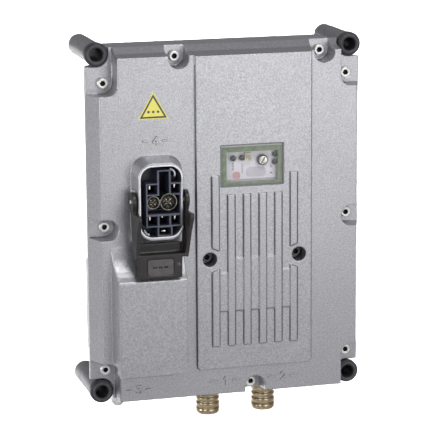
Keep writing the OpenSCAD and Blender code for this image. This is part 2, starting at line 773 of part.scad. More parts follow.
rear_housing();
front_cover();
cover_seal();
cover_screws();
sleeve_top_left();
sleeve_top_right();
sleeve_bottom_left();
sleeve_bottom_right();
service_window();
window_gasket();
display_carrier();
status_lamps();
rotary_switch();
switch_socket();
service_socket();
panel_screws();
heat_sticker();
power_insert();
power_blades();
data_shield_left();
data_shield_right();
data_pins();
insert_brackets();
locking_lever();
lever_pins();
lower_insert();
lower_contacts();
lower_insert_screws();
round_shell_left();
round_shell_right();
round_insert_left();
round_insert_right();
round_pins();
port_ring_left();
port_ring_right();
earth_lug();
earth_screw();
power_board();
board_screws();
control_board();
link_capacitors();
power_module();
thermal_pad();
line_choke();
board_standoffs();
board_link();
board_nuts();
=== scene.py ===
"""Looks for a wall-mounted motor drive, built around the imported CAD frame. Lengths in mm carry * MM."""

import json
import math

import bmesh
import bpy
from mathutils import Matrix, Vector

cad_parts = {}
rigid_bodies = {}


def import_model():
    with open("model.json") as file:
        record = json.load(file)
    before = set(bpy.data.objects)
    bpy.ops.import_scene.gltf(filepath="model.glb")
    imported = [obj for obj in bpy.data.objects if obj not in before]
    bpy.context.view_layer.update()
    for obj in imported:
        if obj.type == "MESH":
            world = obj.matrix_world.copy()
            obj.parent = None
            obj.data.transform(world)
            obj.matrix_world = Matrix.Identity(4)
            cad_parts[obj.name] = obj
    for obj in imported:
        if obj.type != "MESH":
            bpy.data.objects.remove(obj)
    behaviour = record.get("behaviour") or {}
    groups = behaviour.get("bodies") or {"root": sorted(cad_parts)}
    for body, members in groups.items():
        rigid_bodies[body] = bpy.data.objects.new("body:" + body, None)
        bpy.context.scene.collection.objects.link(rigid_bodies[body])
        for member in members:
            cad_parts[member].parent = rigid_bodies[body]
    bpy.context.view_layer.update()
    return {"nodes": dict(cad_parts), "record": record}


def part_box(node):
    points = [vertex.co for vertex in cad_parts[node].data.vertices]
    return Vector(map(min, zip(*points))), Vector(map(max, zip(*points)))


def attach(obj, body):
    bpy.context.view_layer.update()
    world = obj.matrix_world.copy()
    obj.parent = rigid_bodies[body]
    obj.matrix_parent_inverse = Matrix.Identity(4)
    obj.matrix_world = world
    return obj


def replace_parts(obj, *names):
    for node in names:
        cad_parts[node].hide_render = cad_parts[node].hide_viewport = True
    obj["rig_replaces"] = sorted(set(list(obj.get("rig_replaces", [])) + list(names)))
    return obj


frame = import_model()
RECORD = frame["record"]
SLOT_OF = {part["node"]: part["material_slot"] for part in RECORD["subparts"]}
BODY_OF = {n: body for body, nodes in RECORD["behaviour"]["bodies"].items() for n in nodes}
MM = 0.001
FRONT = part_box("heat_sticker")[1].y  # the cover's front face


# ---------------------------------------------------------------- materials


class Surface:
    """A Principled material whose colour, roughness and bump come from procedural nodes."""

    def __init__(self, name, metallic=0.0, specular=0.5, coat=0.0, coat_roughness=0.2):
        self.material = bpy.data.materials.new(name)
        self.material.use_nodes = True
        self.tree = self.material.node_tree
        self.shader = self.tree.nodes["Principled BSDF"]
        self.shader.inputs["Metallic"].default_value = metallic
        self.shader.inputs["Specular IOR Level"].default_value = specular
        self.shader.inputs["Coat Weight"].default_value = coat
        self.shader.inputs["Coat Roughness"].default_value = coat_roughness
        self.coords = self.tree.nodes.new("ShaderNodeTexCoord").outputs["Object"]
        self.height = None

    def node(self, kind, **settings):
        made = self.tree.nodes.new(kind)
        for key, value in settings.items():
            setattr(made, key, value)
        return made

    def link(self, out, into):
        self.tree.links.new(out, into)

    def noise(self, grain, detail=3.0, rough=0.55, stretch=(1, 1, 1)):
        """Noise whose features are about grain metres across."""
        mapping = self.node("ShaderNodeMapping")
        mapping.inputs["Scale"].default_value = stretch
        self.link(self.coords, mapping.inputs["Vector"])
        made = self.node("ShaderNodeTexNoise")
        made.inputs["Scale"].default_value = 1 / grain
        made.inputs["Detail"].default_value = detail
        made.inputs["Roughness"].default_value = rough
        self.link(mapping.outputs["Vector"], made.inputs["Vector"])
        return made.outputs["Fac"]

    def ramp(self, fac, stops):
        """A colour ramp with (position, colour) stops."""
        made = self.node("ShaderNodeValToRGB")
        elements = made.color_ramp.elements
        while len(elements) < len(stops):
            elements.new(0.5)
        for element, (position, colour) in zip(elements, stops):
            element.position = position
            element.color = (*colour, 1)
        self.link(fac, made.inputs["Fac"])
        return made.outputs["Color"]

    def mix(self, fac, a, b, blend="MIX"):
        made = self.node("ShaderNodeMix", data_type="RGBA", blend_type=blend)
        if isinstance(fac, float):
            made.inputs["Factor"].default_value = fac
        else:
            self.link(fac, made.inputs["Factor"])
        self.link(a, made.inputs["A"])
        self.link(b, made.inputs["B"])
        return made.outputs["Result"]

    def span(self, fac, low, high, start=0.3, end=0.7):
        """fac from start to end becomes low to high."""
        made = self.node("ShaderNodeMapRange")
        for key, value in {"From Min": start, "From Max": end, "To Min": low, "To Max": high}.items():
            made.inputs[key].default_value = value
        self.link(fac, made.inputs["Value"])
        return made.outputs["Result"]

    def edges(self):
        """High on convex edges, low in concave ones."""
        return self.node("ShaderNodeNewGeometry").outputs["Pointiness"]

    def colour(self, out):
        self.link(out, self.shader.inputs["Base Color"])

    def roughness(self, out):
        self.link(out, self.shader.inputs["Roughness"])

    def bump(self, fac, depth, strength=1.0):
        """Adds fac as bumps of that depth in metres, on top of earlier ones."""
        made = self.node("ShaderNodeBump")
        made.inputs["Strength"].default_value = strength
        made.inputs["Distance"].default_value = depth
        self.link(fac, made.inputs["Height"])
        if self.height is not None:
            self.link(self.height, made.inputs["Normal"])
        self.height = made.outputs["Normal"]
        self.link(self.height, self.shader.inputs["Normal"])


def shade(colour, factor):
    return tuple(min(1, c * factor) for c in colour)


def powder_coat(name, colour):
    """Silver-grey metallic powder coat with fine specks and orange peel.
    Convex edges carry a painted highlight, and concave edges carry painted shade."""
    s = Surface(name, metallic=0.92, specular=0.4)
    speck = s.ramp(s.noise(0.9 * MM, detail=2), [(0.33, shade(colour, 0.8)), (0.67, shade(colour, 1.18))])
    cloud = s.ramp(s.noise(30 * MM, detail=2), [(0.3, (0.96,) * 3), (0.7, (1.0,) * 3)])
    # painted shade: concave edges are darkened in the colour
    painted_cavity_shade = s.ramp(s.edges(), [(0.42, (0.4, 0.4, 0.4)), (0.492, (1.0, 1.0, 1.0))])
    paint = s.mix(1.0, s.mix(1.0, speck, cloud, "MULTIPLY"), painted_cavity_shade, "MULTIPLY")
    # painted highlight: convex edges are lightened in the colour
    painted_edge_highlight = s.ramp(s.edges(), [(0.515, (0, 0, 0)), (0.58, (0.2, 0.2, 0.205))])
    s.colour(s.mix(1.0, paint, painted_edge_highlight, "ADD"))
    s.roughness(s.span(s.noise(1.1 * MM), 0.36, 0.48))
    s.bump(s.noise(0.7 * MM, detail=2), 0.035 * MM)
    s.bump(s.noise(2.6 * MM, detail=1), 0.04 * MM)
    return s.material


def moulded(name, colour, roughness=0.4, grain=0.35, depth=0.02, specular=0.5, spread=0.2):
    """Moulded plastic or rubber with a fine grain."""
    s = Surface(name, specular=specular)
    s.colour(s.ramp(s.noise(4 * MM), [(0.3, shade(colour, 1 - spread)), (0.7, shade(colour, 1 + spread))]))
    s.roughness(s.span(s.noise(2 * MM), roughness - 0.06, roughness + 0.08))
    s.bump(s.noise(grain * MM, detail=2), depth * MM)
    return s.material


def metal(name, colour, roughness=0.3, grain=0.4, depth=0.01, stretch=(1, 1, 1), spread=0.12):
    """Plated or machined metal, with tool marks along the axis that stretch shortens."""
    s = Surface(name, metallic=1.0)
    tints = [(0.3, shade(colour, 1 - spread)), (0.7, shade(colour, 1 + spread / 2))]
    s.colour(s.ramp(s.noise(3 * MM), tints))
    s.roughness(s.span(s.noise(grain * MM, stretch=stretch), roughness - 0.07, roughness + 0.1))
    s.bump(s.noise(grain * MM, stretch=stretch), depth * MM)
    return s.material


def clear_plastic(name, colour, alpha, roughness):
    """Clear plastic with faint hairline wear. Alpha is how much of it shows."""
    s = Surface(name, specular=0.15)
    s.colour(s.ramp(s.noise(3 * MM), [(0.3, shade(colour, 0.95)), (0.7, colour)]))
    s.shader.inputs["Alpha"].default_value = alpha
    s.roughness(s.span(s.noise(5 * MM, stretch=(1, 1, 6)), roughness, roughness + 0.06))
    s.bump(s.noise(6 * MM, detail=1), 0.01 * MM, 0.3)
    return s.material


def board(name, colour):
    """Solder mask over copper tracks."""
    s = Surface(name, coat=0.4)
    tracks = s.node("ShaderNodeTexBrick", offset=0.37)
    tracks.inputs["Scale"].default_value = 90
    tracks.inputs["Mortar Size"].default_value = 0.04
    tracks.inputs["Color1"].default_value = (*colour, 1)
    tracks.inputs["Color2"].default_value = (*shade(colour, 1.5), 1)
    tracks.inputs["Mortar"].default_value = (*shade(colour, 2.6), 1)
    s.link(s.coords, tracks.inputs["Vector"])
    s.colour(tracks.outputs["Color"])
    s.roughness(s.span(s.noise(5 * MM), 0.3, 0.5))
    return s.material


BUILDERS = {
    "cast_housing": lambda n: powder_coat(n, (0.5, 0.5, 0.525)),
    "black_rubber": lambda n: moulded(n, (0.03, 0.03, 0.03), 0.7),
    "bright_steel": lambda n: metal(n, (0.93, 0.93, 0.9), 0.42, spread=0.05),
    "sleeve_plastic": lambda n: moulded(n, (0.035, 0.035, 0.04), 0.36, 0.5, 0.03),
    "clear_lid": lambda n: clear_plastic(n, (0.85, 0.87, 0.88), 0.06, 0.03),
    "green_seal": lambda n: moulded(n, (0.25, 0.315, 0.2), 0.55),
    "carrier_plate": lambda n: moulded(n, (0.93, 0.9, 0.97), 0.5, spread=0.03),
    "lamp_lens": lambda n: moulded(n, (0.02, 0.022, 0.022), 0.12, 2, 0.01),
    "switch_metal": lambda n: metal(n, (0.9, 0.88, 0.8), 0.28),
    "black_plastic": lambda n: moulded(n, (0.02, 0.02, 0.022), 0.4),
    "cream_plastic": lambda n: moulded(n, (0.8, 0.77, 0.62), 0.4),
    "dark_steel": lambda n: metal(n, (0.12, 0.12, 0.125), 0.4),
    "yellow_sticker": lambda n: moulded(n, (0.97, 0.9, 0.2), 0.45, 3, 0.01, spread=0.03),
    "insert_plastic": lambda n: moulded(n, (0.035, 0.04, 0.065), 0.35),
    "contact_metal": lambda n: metal(n, (0.8, 0.76, 0.68), 0.25),
    "contact_brass": lambda n: metal(n, (0.8, 0.66, 0.4), 0.25),
    "lever_plastic": lambda n: moulded(n, (0.022, 0.018, 0.018), 0.35, 0.5, 0.03),
    "brass": lambda n: metal(n, (0.52, 0.42, 0.27), 0.25, 0.5, 0.01, (1, 1, 8), 0.3),
    "red_ring": lambda n: moulded(n, (0.3, 0.05, 0.03), 0.5),
    "green_ring": lambda n: moulded(n, (0.1, 0.2, 0.06), 0.5),
    "bare_aluminium": lambda n: metal(n, (0.8, 0.8, 0.8), 0.35),
    "circuit_board": lambda n: board(n, (0.01, 0.09, 0.03)),
    "capacitor_sleeve": lambda n: moulded(n, (0.02, 0.03, 0.1), 0.25),
    "grey_pad": lambda n: moulded(n, (0.4, 0.4, 0.42), 0.6),
    "choke_winding": lambda n: metal(n, (0.6, 0.25, 0.08), 0.35, 0.6, 0.1),
}
MATERIALS = {name: build(name) for name, build in BUILDERS.items()}
EXTRA = {
    # painted shadow: the powder coat made darker, for shadow lines at the feet of raised parts
    "coat_hollow": lambda n: powder_coat(n, (0.24, 0.24, 0.255)),
    "lid_rim": lambda n: clear_plastic(n, (0.88, 0.88, 0.9), 0.6, 0.15),
    "print_white": lambda n: moulded(n, (0.85, 0.85, 0.87), 0.5, spread=0.04),
    "print_pale": lambda n: moulded(n, (0.68, 0.66, 0.72), 0.4, spread=0.06),
    "print_dark": lambda n: moulded(n, (0.1, 0.1, 0.11), 0.5),
    "print_red": lambda n: moulded(n, (0.72, 0.4, 0.42), 0.5, spread=0.08),
    "sleeve_body": lambda n: moulded(n, (0.18, 0.18, 0.19), 0.38, 0.6, 0.03),
    # painted highlight: a lighter blue-grey for the insert's front faces
    "insert_edge": lambda n: moulded(n, (0.1, 0.112, 0.15), 0.4),
    "dull_metal": lambda n: metal(n, (0.34, 0.32, 0.27), 0.3, spread=0.3),
    "bracket": lambda n: metal(n, (0.4, 0.42, 0.46), 0.35),
    # darker glossy plastic: the bars' own finish, and painted shade on the lever's web
    "lever_gloss": lambda n: moulded(n, (0.01, 0.008, 0.008), 0.2, 0.5, 0.02),
    # painted shade: near-black metal for the insides of screw recesses and the switch slot
    "recess": lambda n: metal(n, (0.035, 0.035, 0.035), 0.5),
    "sleeve_face": lambda n: moulded(n, (0.075, 0.077, 0.085), 0.45),
    "plaque": lambda n: moulded(n, (0.1, 0.09, 0.09), 0.4),
}
MATERIALS.update({name: build(name) for name, build in EXTRA.items()})


# ---------------------------------------------------------------- mesh tools


def add(name, mesh, slot, body="housing", replaces=(), material=None):
    """Makes mesh a piece that rides on body, takes the finish of slot and stands for the replaced nodes."""
    made = bpy.data.objects.new(name, mesh)
    bpy.context.scene.collection.objects.link(made)
    mesh.materials.clear()
    mesh.materials.append(MATERIALS[material or slot])
    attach(made, body)
    if replaces:
        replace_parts(made, *replaces)
    return made


def applied(mesh, *modifiers):
    """mesh with the modifiers, given as (kind, settings), applied to it."""
    made = bpy.data.objects.new("temporary", mesh)
    bpy.context.scene.collection.objects.link(made)
    for kind, settings in modifiers:
        modifier = made.modifiers.new(kind, kind)
        for key, value in settings.items():
            setattr(modifier, key, value)
    graph = bpy.context.evaluated_depsgraph_get()
    result = bpy.data.meshes.new_from_object(made.evaluated_get(graph))
    bpy.data.objects.remove(made)
    return result


def cad_mesh(node, dissolve=True):
    """A clean copy of a CAD node's mesh: joined, and with its flat faces whole."""
    mesh = frame["nodes"][node].data.copy()
    mesh.materials.clear()
    bm = bmesh.new()
    bm.from_mesh(mesh)
    bmesh.ops.remove_doubles(bm, verts=bm.verts, dist=1e-6)
    if dissolve:
        bmesh.ops.dissolve_limit(bm, angle_limit=math.radians(0.5), verts=bm.verts, edges=bm.edges)
    for face in bm.faces:
        face.smooth = True
    bm.to_mesh(mesh)
    bm.free()
    return mesh


def bevelled(mesh, width, segments=2, angle=32):
    """mesh with its edges rounded to width metres."""
    return applied(
        mesh,
        ("BEVEL", {
            "width": width, "segments": segments, "limit_method": "ANGLE",
            "angle_limit": math.radians(angle), "harden_normals": True, "use_clamp_overlap": True,
        }),
    )


def cast(mesh, voxel, rounds, keep):
    """mesh as a casting: every edge is rounded by smoothing a fine remesh, which keep thins out."""
    return applied(
        mesh,
        ("REMESH", {"mode": "VOXEL", "voxel_size": voxel, "use_smooth_shade": True}),
        ("SMOOTH", {"iterations": rounds, "factor": 0.5}),
        ("DECIMATE", {"ratio": keep}),
        ("WEIGHTED_NORMAL", {"weight": 80}),
    )


def mesh_from(bm, smooth=True):
    bmesh.ops.recalc_face_normals(bm, faces=bm.faces)
    for face in bm.faces:
        face.smooth = smooth
    mesh = bpy.data.meshes.new("mesh")
    bm.to_mesh(mesh)
    bm.free()
    return mesh


def lathe(profile, centre, axis="Y", steps=64, lobes=None, bm=None):
    """Turns (radius, height) points about an axis through centre. Height runs along the axis.
    lobes = (first, last, count, depth) makes the profile points first to last wavy."""
    bm = bm or bmesh.new()
    rings = []
    for i, (radius, height) in enumerate(profile):
        ring = []
        for k in range(steps):
            angle = 2 * math.pi * k / steps
            r = radius
            if lobes and lobes[0] <= i <= lobes[1]:
                r = radius * (1 + lobes[3] * math.cos(lobes[2] * angle))
            u, v = r * math.cos(angle), r * math.sin(angle)
            point = {"Y": (u, height, v), "Z": (u, v, height)}[axis]
            ring.append(bm.verts.new(Vector(centre) + Vector(point)))
            if radius == 0:
                break
        rings.append(ring)
    for a, b in zip(rings, rings[1:]):
        for k in range(steps):
            m = (k + 1) % steps
            corners = [a[k % len(a)], a[m % len(a)], b[m % len(b)], b[k % len(b)]]
            unique = list(dict.fromkeys(corners))
            if len(unique) > 2:
                bm.faces.new(unique)
    return bm


def box_into(bm, low, high):
    """A box between two corners."""
    low, high = Vector(low), Vector(high)
    size = high - low
    middle = (low + high) / 2
    matrix = Matrix.Translation(middle) @ Matrix.Diagonal((*size, 1))
    bmesh.ops.create_cube(bm, size=1, matrix=matrix)


# ---------------------------------------------------------------- castings


def in_painted_shadow(centre, normal):
    """Whether a face of the cover lies in the foot of the panel, of a rib or of the lower housing, where a
    shadow line is painted.
    """
    x, z, rise = centre.x / MM, centre.z / MM, (FRONT - centre.y) / MM
    at_rim = z < -104 or x > 57
    faces_front = abs(normal.y) > (0.985 if at_rim else 0.95)
    faces_up = normal.z > 0.3  # lit from above in the reference view, so no shadow line there
    if faces_front or faces_up:
        return False
    panel_foot = -27 < x < 60 and z < 112 and -0.3 < rise < 1.3
    rib_foot = -20 < x < 54 and -92 < z < 37 and 2.45 < rise < 3.1
    lower_foot = -88 < x < -33 and z < -102 and -0.3 < rise < 2
    return panel_foot or rib_foot or lower_foot


def castings():
    """The two shells. A second, darker paint stands for the shadow lines at the feet of raised parts."""
    mesh = cast(cad_mesh("front_cover", False), voxel=0.42 * MM, rounds=5, keep=0.14)
    cover = add("cover_casting", mesh, "cast_housing", replaces=["front_cover"])
    # painted shadow lines at the feet of the panel, the ribs and the lower housing
    paint_faces(cover, "coat_hollow", in_painted_shadow)
    mesh = cast(cad_mesh("rear_housing", False), voxel=0.7 * MM, rounds=8, keep=0.16)
    add("rear_casting", mesh, "cast_housing", replaces=["rear_housing"])


BEVELS = {
    "cover_seal": 0.2, "window_gasket": 0.3, "display_carrier": 0.2, "status_lamps": 0.6,
    "switch_socket": 0.15, "service_socket": 0.12,
    "power_blades": 0.1,
    "data_pins": 0.12, "lever_pins": 0.25, "lower_insert": 0.2,
    "lower_contacts": 0.1, "lower_insert_screws": 0.2,
    "round_insert_left": 0.1, "round_insert_right": 0.1, "round_pins": 0.1, "port_ring_left": 0.15,
    "port_ring_right": 0.15, "earth_lug": 0.25, "board_nuts": 0.1,
}


def bevelled_parts():
    for node, width in BEVELS.items():
        add(node + "_finish", bevelled(cad_mesh(node), width * MM), SLOT_OF[node],
            BODY_OF[node], replaces=[node])


def paint_faces(piece, material, chosen):
    """Gives the faces whose centre and normal pass the test chosen another material."""
    piece.data.materials.append(MATERIALS[material])
    last = len(piece.data.materials) - 1
    for face in piece.data.polygons:
        if chosen(face.center, face.normal):
            face.material_index = last


def sleeves():
    """Grey spacer sleeves whose front collar is black, with a paler ring round the bore."""
    collar_depth, bore_reach = 7.2 * MM, 5 * MM
    ring_in, ring_out = 5.4 * MM, 7.0 * MM
    for node in ("sleeve_top_left", "sleeve_top_right", "sleeve_bottom_left", "sleeve_bottom_right"):
        piece = add(node + "_finish", bevelled(cad_mesh(node), 0.3 * MM), "sleeve_plastic", replaces=[node])
        low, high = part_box(node)
        axis = (low + high) / 2

        def behind_collar(c, n):
            return c.y > low.y + collar_depth and math.hypot(c.x - axis.x, c.z - axis.z) > bore_reach

        paint_faces(piece, "sleeve_body", behind_collar)
        face, foot = low.y - 0.05 * MM, low.y + 0.2 * MM
        ring = [(ring_in, foot), (ring_in, face), (ring_out, face), (ring_out, foot), (ring_in, foot)]
        bm = lathe(ring, (axis.x, 0, axis.z))
        add(node + "_ring", mesh_from(bm), "sleeve_plastic", material="sleeve_face")


def lever():
    """The locking lever, and the plaque, the three bars and the dimple on its handle."""
    mesh = cast(cad_mesh("locking_lever", False), voxel=0.3 * MM, rounds=5, keep=0.35)
    piece = add("lever_moulding", mesh, "lever_plastic", "lever", replaces=["locking_lever"])
    low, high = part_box("locking_lever")
    middle = (low.x + high.x) / 2 - 1.55 * MM

    # painted shade: the web behind the handle takes a darker, glossier plastic
    def in_painted_web_shade(c, n):
        return c.z > -16.2 * MM and c.y > -81 * MM and abs(c.x - middle) < 17 * MM

    paint_faces(piece, "lever_gloss", in_painted_web_shade)
    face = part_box("power_insert")[0].y - 2.5 * MM
    plaque_z, plaque_half, plaque_corner = -25.2 * MM, (9.1 * MM, 5.5 * MM), 1.6 * MM
    bm = bmesh.new()
    rounded_plate(bm, (middle, plaque_z), plaque_half, plaque_corner, face - 0.25 * MM, face + 0.3 * MM)
    add("lever_plaque", bevelled(mesh_from(bm), 0.12 * MM), "lever_plastic", "lever", material="plaque")

    first_bar, bar_pitch, bar_width, bar_foot, bar_top = -5.5 * MM, 4 * MM, 2.6 * MM, -25.9 * MM, -24.7 * MM
    bm = bmesh.new()
    for k in range(3):
        left = middle + first_bar + k * bar_pitch
        box_into(bm, (left, face - 0.45 * MM, bar_foot), (left + bar_width, face, bar_top))
    add("lever_bars", mesh_from(bm), "lever_plastic", "lever", material="lever_gloss")

    dimple_face, dimple_foot, dimple_r = -88.35 * MM, -87.8 * MM, 1.3 * MM
    profile = [(0, dimple_face), (dimple_r - 0.2 * MM, dimple_face), (dimple_r, dimple_face + 0.25 * MM),
               (dimple_r, dimple_foot), (0, dimple_foot)]
    bm = lathe(profile, (middle + 13 * MM, 0, -23.6 * MM), steps=24)
    add("lever_dimple", mesh_from(bm), "lever_plastic", "lever", material="plaque")


def rounded_outline(centre, half, radius, steps=8):
    """Corner points of a rounded rectangle in the X-Z plane."""
    points = []
    for quarter, (sx, sz) in enumerate(((1, 1), (-1, 1), (-1, -1), (1, -1))):
        for k in range(steps + 1):
            angle = math.pi / 2 * (quarter + k / steps)
            points.append((centre[0] + sx * (half[0] - radius) + radius * math.cos(angle),
                           centre[1] + sz * (half[1] - radius) + radius * math.sin(angle)))
    return points


def prism(bm, outline, y0, y1):
    """Extrudes an X-Z outline from y0 to y1."""
    rings = [[bm.verts.new((x, y, z)) for x, z in outline] for y in (y0, y1)]
    bm.faces.new(rings[0])
    bm.faces.new(rings[1])
    for k in range(len(outline)):
        m = (k + 1) % len(outline)
        bm.faces.new((rings[0][k], rings[0][m], rings[1][m], rings[1][k]))


def frame_prism(bm, outer, inner, y0, y1):
    """A ring between two outlines with the same number of points, from y0 to y1."""
    loops = [[bm.verts.new((x, y, z)) for x, z in outline] for outline in (outer, inner) for y in (y0, y1)]
    count = len(outer)
    for a, b in ((0, 1), (1, 3), (3, 2), (2, 0)):
        for k in range(count):
            m = (k + 1) % count
            bm.faces.new((loops[a][k], loops[a][m], loops[b][m], loops[b][k]))


def rounded_plate(bm, centre, half, radius, y0, y1):
    prism(bm, rounded_outline(centre, half, radius), y0, y1)


def solids(node):
    """The box of each separate solid of a CAD node, from left to right."""
    bm = bmesh.new()
    bm.from_mesh(frame["nodes"][node].data)
    bmesh.ops.remove_doubles(bm, verts=bm.verts, dist=1e-6)
    left = set(bm.verts)
    boxes = []
    while left:
        todo = [left.pop()]
        found = list(todo)
        while todo:
            for edge in todo.pop().link_edges:
                for vert in edge.verts:
                    if vert in left:
                        left.remove(vert)
                        todo.append(vert)
                        found.append(vert)
        low = Vector([min(v.co[i] for v in found) for i in range(3)])
        high = Vector([max(v.co[i] for v in found) for i in range(3)])
        boxes.append((low, high))
    bm.free()
    return sorted(boxes, key=lambda box: (round(box[0].x, 5), round(box[0].z, 5)))


def lobed_screw(bm, x, z, front, seat, end, head_r, shank_r, recess_r):
    """A pan-head screw along Y with a six-lobe recess: its front, its seat and its end are depths."""
    head = seat - front
    rise = [(1.0, 0.0), (1.0, 0.75), (0.96, 0.9), (0.88, 0.98), (0.78, 1.0)]
    profile = [(0, end), (shank_r * 0.7, end), (shank_r, end - 0.6 * MM), (shank_r, seat)]
    profile += [(head_r * r, seat - head * h) for r, h in rise]
    profile += [(recess_r * 1.2, front), (recess_r * 1.08, front + 0.12 * MM), (recess_r, front + 0.35 * MM),
                (recess_r * 0.96, front + head * 0.6), (recess_r * 0.3, front + head * 0.72),
                (0, front + head * 0.72)]
    first = len(profile) - 6
    lathe(profile, (x, 0, z), steps=72, lobes=(first, len(profile) - 3, 6, 0.09), bm=bm)


SCREWS = {  # head depth, shank radius and recess radius in mm
    "cover_screws": (3.4, 1.95, 1.7),
    "panel_screws": (3.6, 1.9, 1.7),
    "board_screws": (2, 1.5, 1.2),
    "earth_screw": (2.6, 2, 1.5),
}


def screws():
    """Six-lobe screws in place of the plain ones."""
    for node, sizes in SCREWS.items():
        head_depth, shank_r, recess_r = (size * MM for size in sizes)
        bm = bmesh.new()
        holes = []
        for low, high in solids(node):
            middle = (low + high) / 2
            head_r = (high.x - low.x) / 2
            lobed_screw(bm, middle.x, middle.z, low.y, low.y + head_depth, high.y, head_r, shank_r, recess_r)
            holes.append((middle.x, low.y, middle.z))
        piece = add(node + "_lobed", mesh_from(bm), SLOT_OF[node], replaces=[node])

        def in_shaded_recess(c, n):
            return any(math.hypot(c.x - x, c.z - z) < 1.06 * recess_r
                       and front + 0.15 * MM < c.y < front + head_depth for x, front, z in holes)

        # painted shade: the faces inside each recess take near-black metal
        paint_faces(piece, "recess", in_shaded_recess)


# ---------------------------------------------------------------- front details

GLYPH_WIDE, GLYPH_TALL = 3.4, 5.5  # the box in mm that the strokes below fill
STROKES = {
    "1": [[(0.7, 4.3), (2.0, 5.5), (2.0, 0)]],
    "2": [[(0, 4.4), (0.8, 5.5), (2.6, 5.5), (3.4, 4.4), (3.4, 3.4), (0, 0), (3.4, 0)]],
    "3": [[(0, 5.5), (3.4, 5.5), (1.5, 3.3), (2.7, 3.3), (3.4, 2.2), (3.4, 1), (2.6, 0), (0.8, 0), (0, 0.9)]],
    "4": [[(2.6, 0), (2.6, 5.5), (0, 1.6), (3.4, 1.6)]],
}


def numeral(digit, x, z, reach):
    """A raised port number between two short bars, centred on x and z."""
    width, rise, sunk = 1.2 * MM, 1.0 * MM, 0.4 * MM
    top, foot, gap, level = FRONT - rise, FRONT + sunk, 3.6, GLYPH_TALL / 2
    bm = bmesh.new()
    bars = [[(-reach, level), (-gap, level)], [(GLYPH_WIDE + gap, level), (GLYPH_WIDE + reach, level)]]
    for points in STROKES[digit] + bars:
        spots = [Vector((x + (px - GLYPH_WIDE / 2) * MM, 0, z + (pz - level) * MM)) for px, pz in points]
        for a, b in zip(spots, spots[1:]):
            along = b - a
            turn = Matrix.Rotation(-math.atan2(along.z, along.x), 4, "Y")
            middle = (a + b) / 2 + Vector((0, (top + foot) / 2, 0))
            scale = Matrix.Diagonal((along.length, rise + sunk, width, 1))
            bmesh.ops.create_cube(bm, size=1, matrix=Matrix.Translation(middle) @ turn @ scale)
        for a in spots:
            lathe([(0, top), (width / 2, top), (width / 2, foot), (0, foot)], a, steps=20, bm=bm)
    mesh = applied(
        mesh_from(bm),
        ("REMESH", {"mode": "VOXEL", "voxel_size": 0.13 * MM, "use_smooth_shade": True}),
        ("SMOOTH", {"iterations": 2, "factor": 0.5}),
        ("DECIMATE", {"ratio": 0.3}),
    )
    piece = add("port_number_" + digit, mesh, "cast_housing")
    # painted shade: the numerals' side faces take the darker coat
    paint_faces(piece, "coat_hollow", lambda c, n: abs(n.y) < 0.85)


PORT_NUMBERS = {  # place in mm, and how far the bars reach
    "4": (-53.8, 60.5, 7),
    "3": (-67.9, -117, 7),
    "1": (-4.6, -115.6, 9.5),
    "2": (38.2, -115.5, 9.5),
}


def numerals():
    for digit, (x, z, reach) in PORT_NUMBERS.items():
        numeral(digit, x * MM, z * MM, reach)


def sticker():
    """A plain yellow triangle with a dark border and three dots."""
    low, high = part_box("heat_sticker")
    corners = [(low.x, low.z), (high.x, low.z), ((low.x + high.x) / 2, high.z)]
    sides = [math.dist(corners[(i + 1) % 3], corners[(i + 2) % 3]) for i in range(3)]
    around = sum(sides)
    centre = tuple(sum(sides[i] * corners[i][k] for i in range(3)) / around for k in range(2))
    inradius = (high.x - low.x) * (high.z - low.z) / around

    def inset(distance):
        keep = 1 - distance / inradius
        return [(centre[0] + (x - centre[0]) * keep, centre[1] + (z - centre[1]) * keep) for x, z in corners]

    bm = bmesh.new()
    prism(bm, corners, FRONT + 0.05 * MM, low.y)
    base = bevelled(mesh_from(bm, False), 0.06 * MM)
    add("sticker_base", base, "yellow_sticker", replaces=["heat_sticker"])

    ink, dot_r, dot_pitch, dot_drop = low.y - 0.03 * MM, 0.9 * MM, 3.4 * MM, 1.2 * MM
    bm = bmesh.new()
    frame_prism(bm, inset(0.75 * MM), inset(1.95 * MM), low.y, ink)
    for k in (-1, 0, 1):
        spot = (centre[0] + k * dot_pitch, 0, centre[1] - dot_drop)
        lathe([(0, ink), (dot_r, ink), (dot_r, low.y), (0, low.y)], spot, steps=24, bm=bm)
    add("sticker_print", mesh_from(bm, False), "yellow_sticker", material="print_dark")


def box_outline(low, high, margin, radius):
    """A rounded outline margin inside the X-Z extent of a box."""
    centre = ((low.x + high.x) / 2, (low.z + high.z) / 2)
    half = ((high.x - low.x) / 2 - margin, (high.z - low.z) / 2 - margin)
    return rounded_outline(centre, half, radius)


def lid():
    """The clear lid, with frosted edges and a frosted margin outside the gasket."""
    piece = add("lid_clear", bevelled(cad_mesh("service_window"), 0.35 * MM, 3), "clear_lid", "lid",
                replaces=["service_window"])
    paint_faces(piece, "lid_rim", lambda c, n: abs(n.y) < 0.6)
    low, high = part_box("service_window")
    outer = box_outline(low, high, 0.5 * MM, 1 * MM)
    inner = box_outline(*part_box("window_gasket"), 0, 1.5 * MM)
    bm = bmesh.new()
    frame_prism(bm, outer, inner, high.y - 0.1 * MM, high.y + 0.1 * MM)
    add("lid_frosting", mesh_from(bm), "clear_lid", "lid", material="lid_rim")


